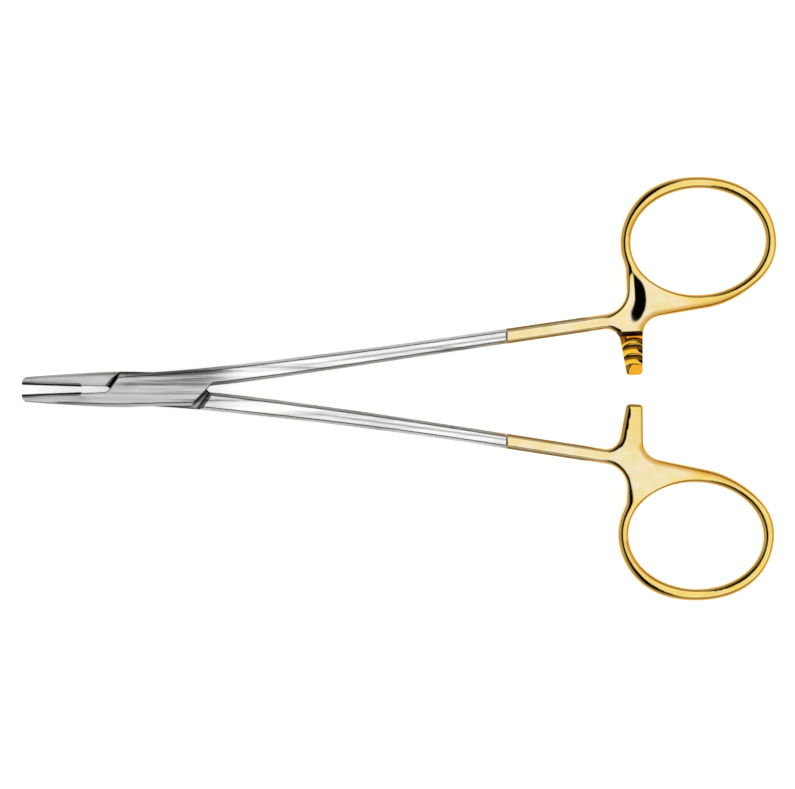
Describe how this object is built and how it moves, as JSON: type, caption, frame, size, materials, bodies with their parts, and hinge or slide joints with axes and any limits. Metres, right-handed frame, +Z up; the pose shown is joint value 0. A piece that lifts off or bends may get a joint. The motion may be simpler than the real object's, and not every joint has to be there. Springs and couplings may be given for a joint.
{
  "type": "surgical needle holder",
  "caption": "Slender ring-handled needle holder with a box lock, tapered jaws with hard-metal inserts and a ratchet between the finger rings.",
  "frame": {"origin": "on the pivot axis, at the underside of the box lock", "axes": "+X from the pivot towards the finger rings, +Y towards the ring of the arm with the box, +Z up along the pivot"},
  "size_m": [0.1783, 0.1001, 0.0046],
  "materials": {
    "arm_steel": "satin stainless steel, with the finger rings, ratchet and shank ends gold plated and polished",
    "rivet_steel": "satin stainless steel, ground flush",
    "carbide": "dark sintered tungsten carbide with a fine cross-hatched face"
  },
  "bodies": {
    "box_side": {"box_arm": "arm_steel", "pivot_pin": "rivet_steel", "lower_jaw_insert": "carbide"},
    "tenon_side": {"tenon_arm": "arm_steel", "upper_jaw_insert": "carbide"}
  },
  "joints": [
    {"name": "box_lock_hinge", "type": "hinge", "parent": "box_side", "child": "tenon_side", "pos_m": [0, 0, 0], "axis": [0, 0, 1], "range_deg": [-45, 4]}
  ]
}
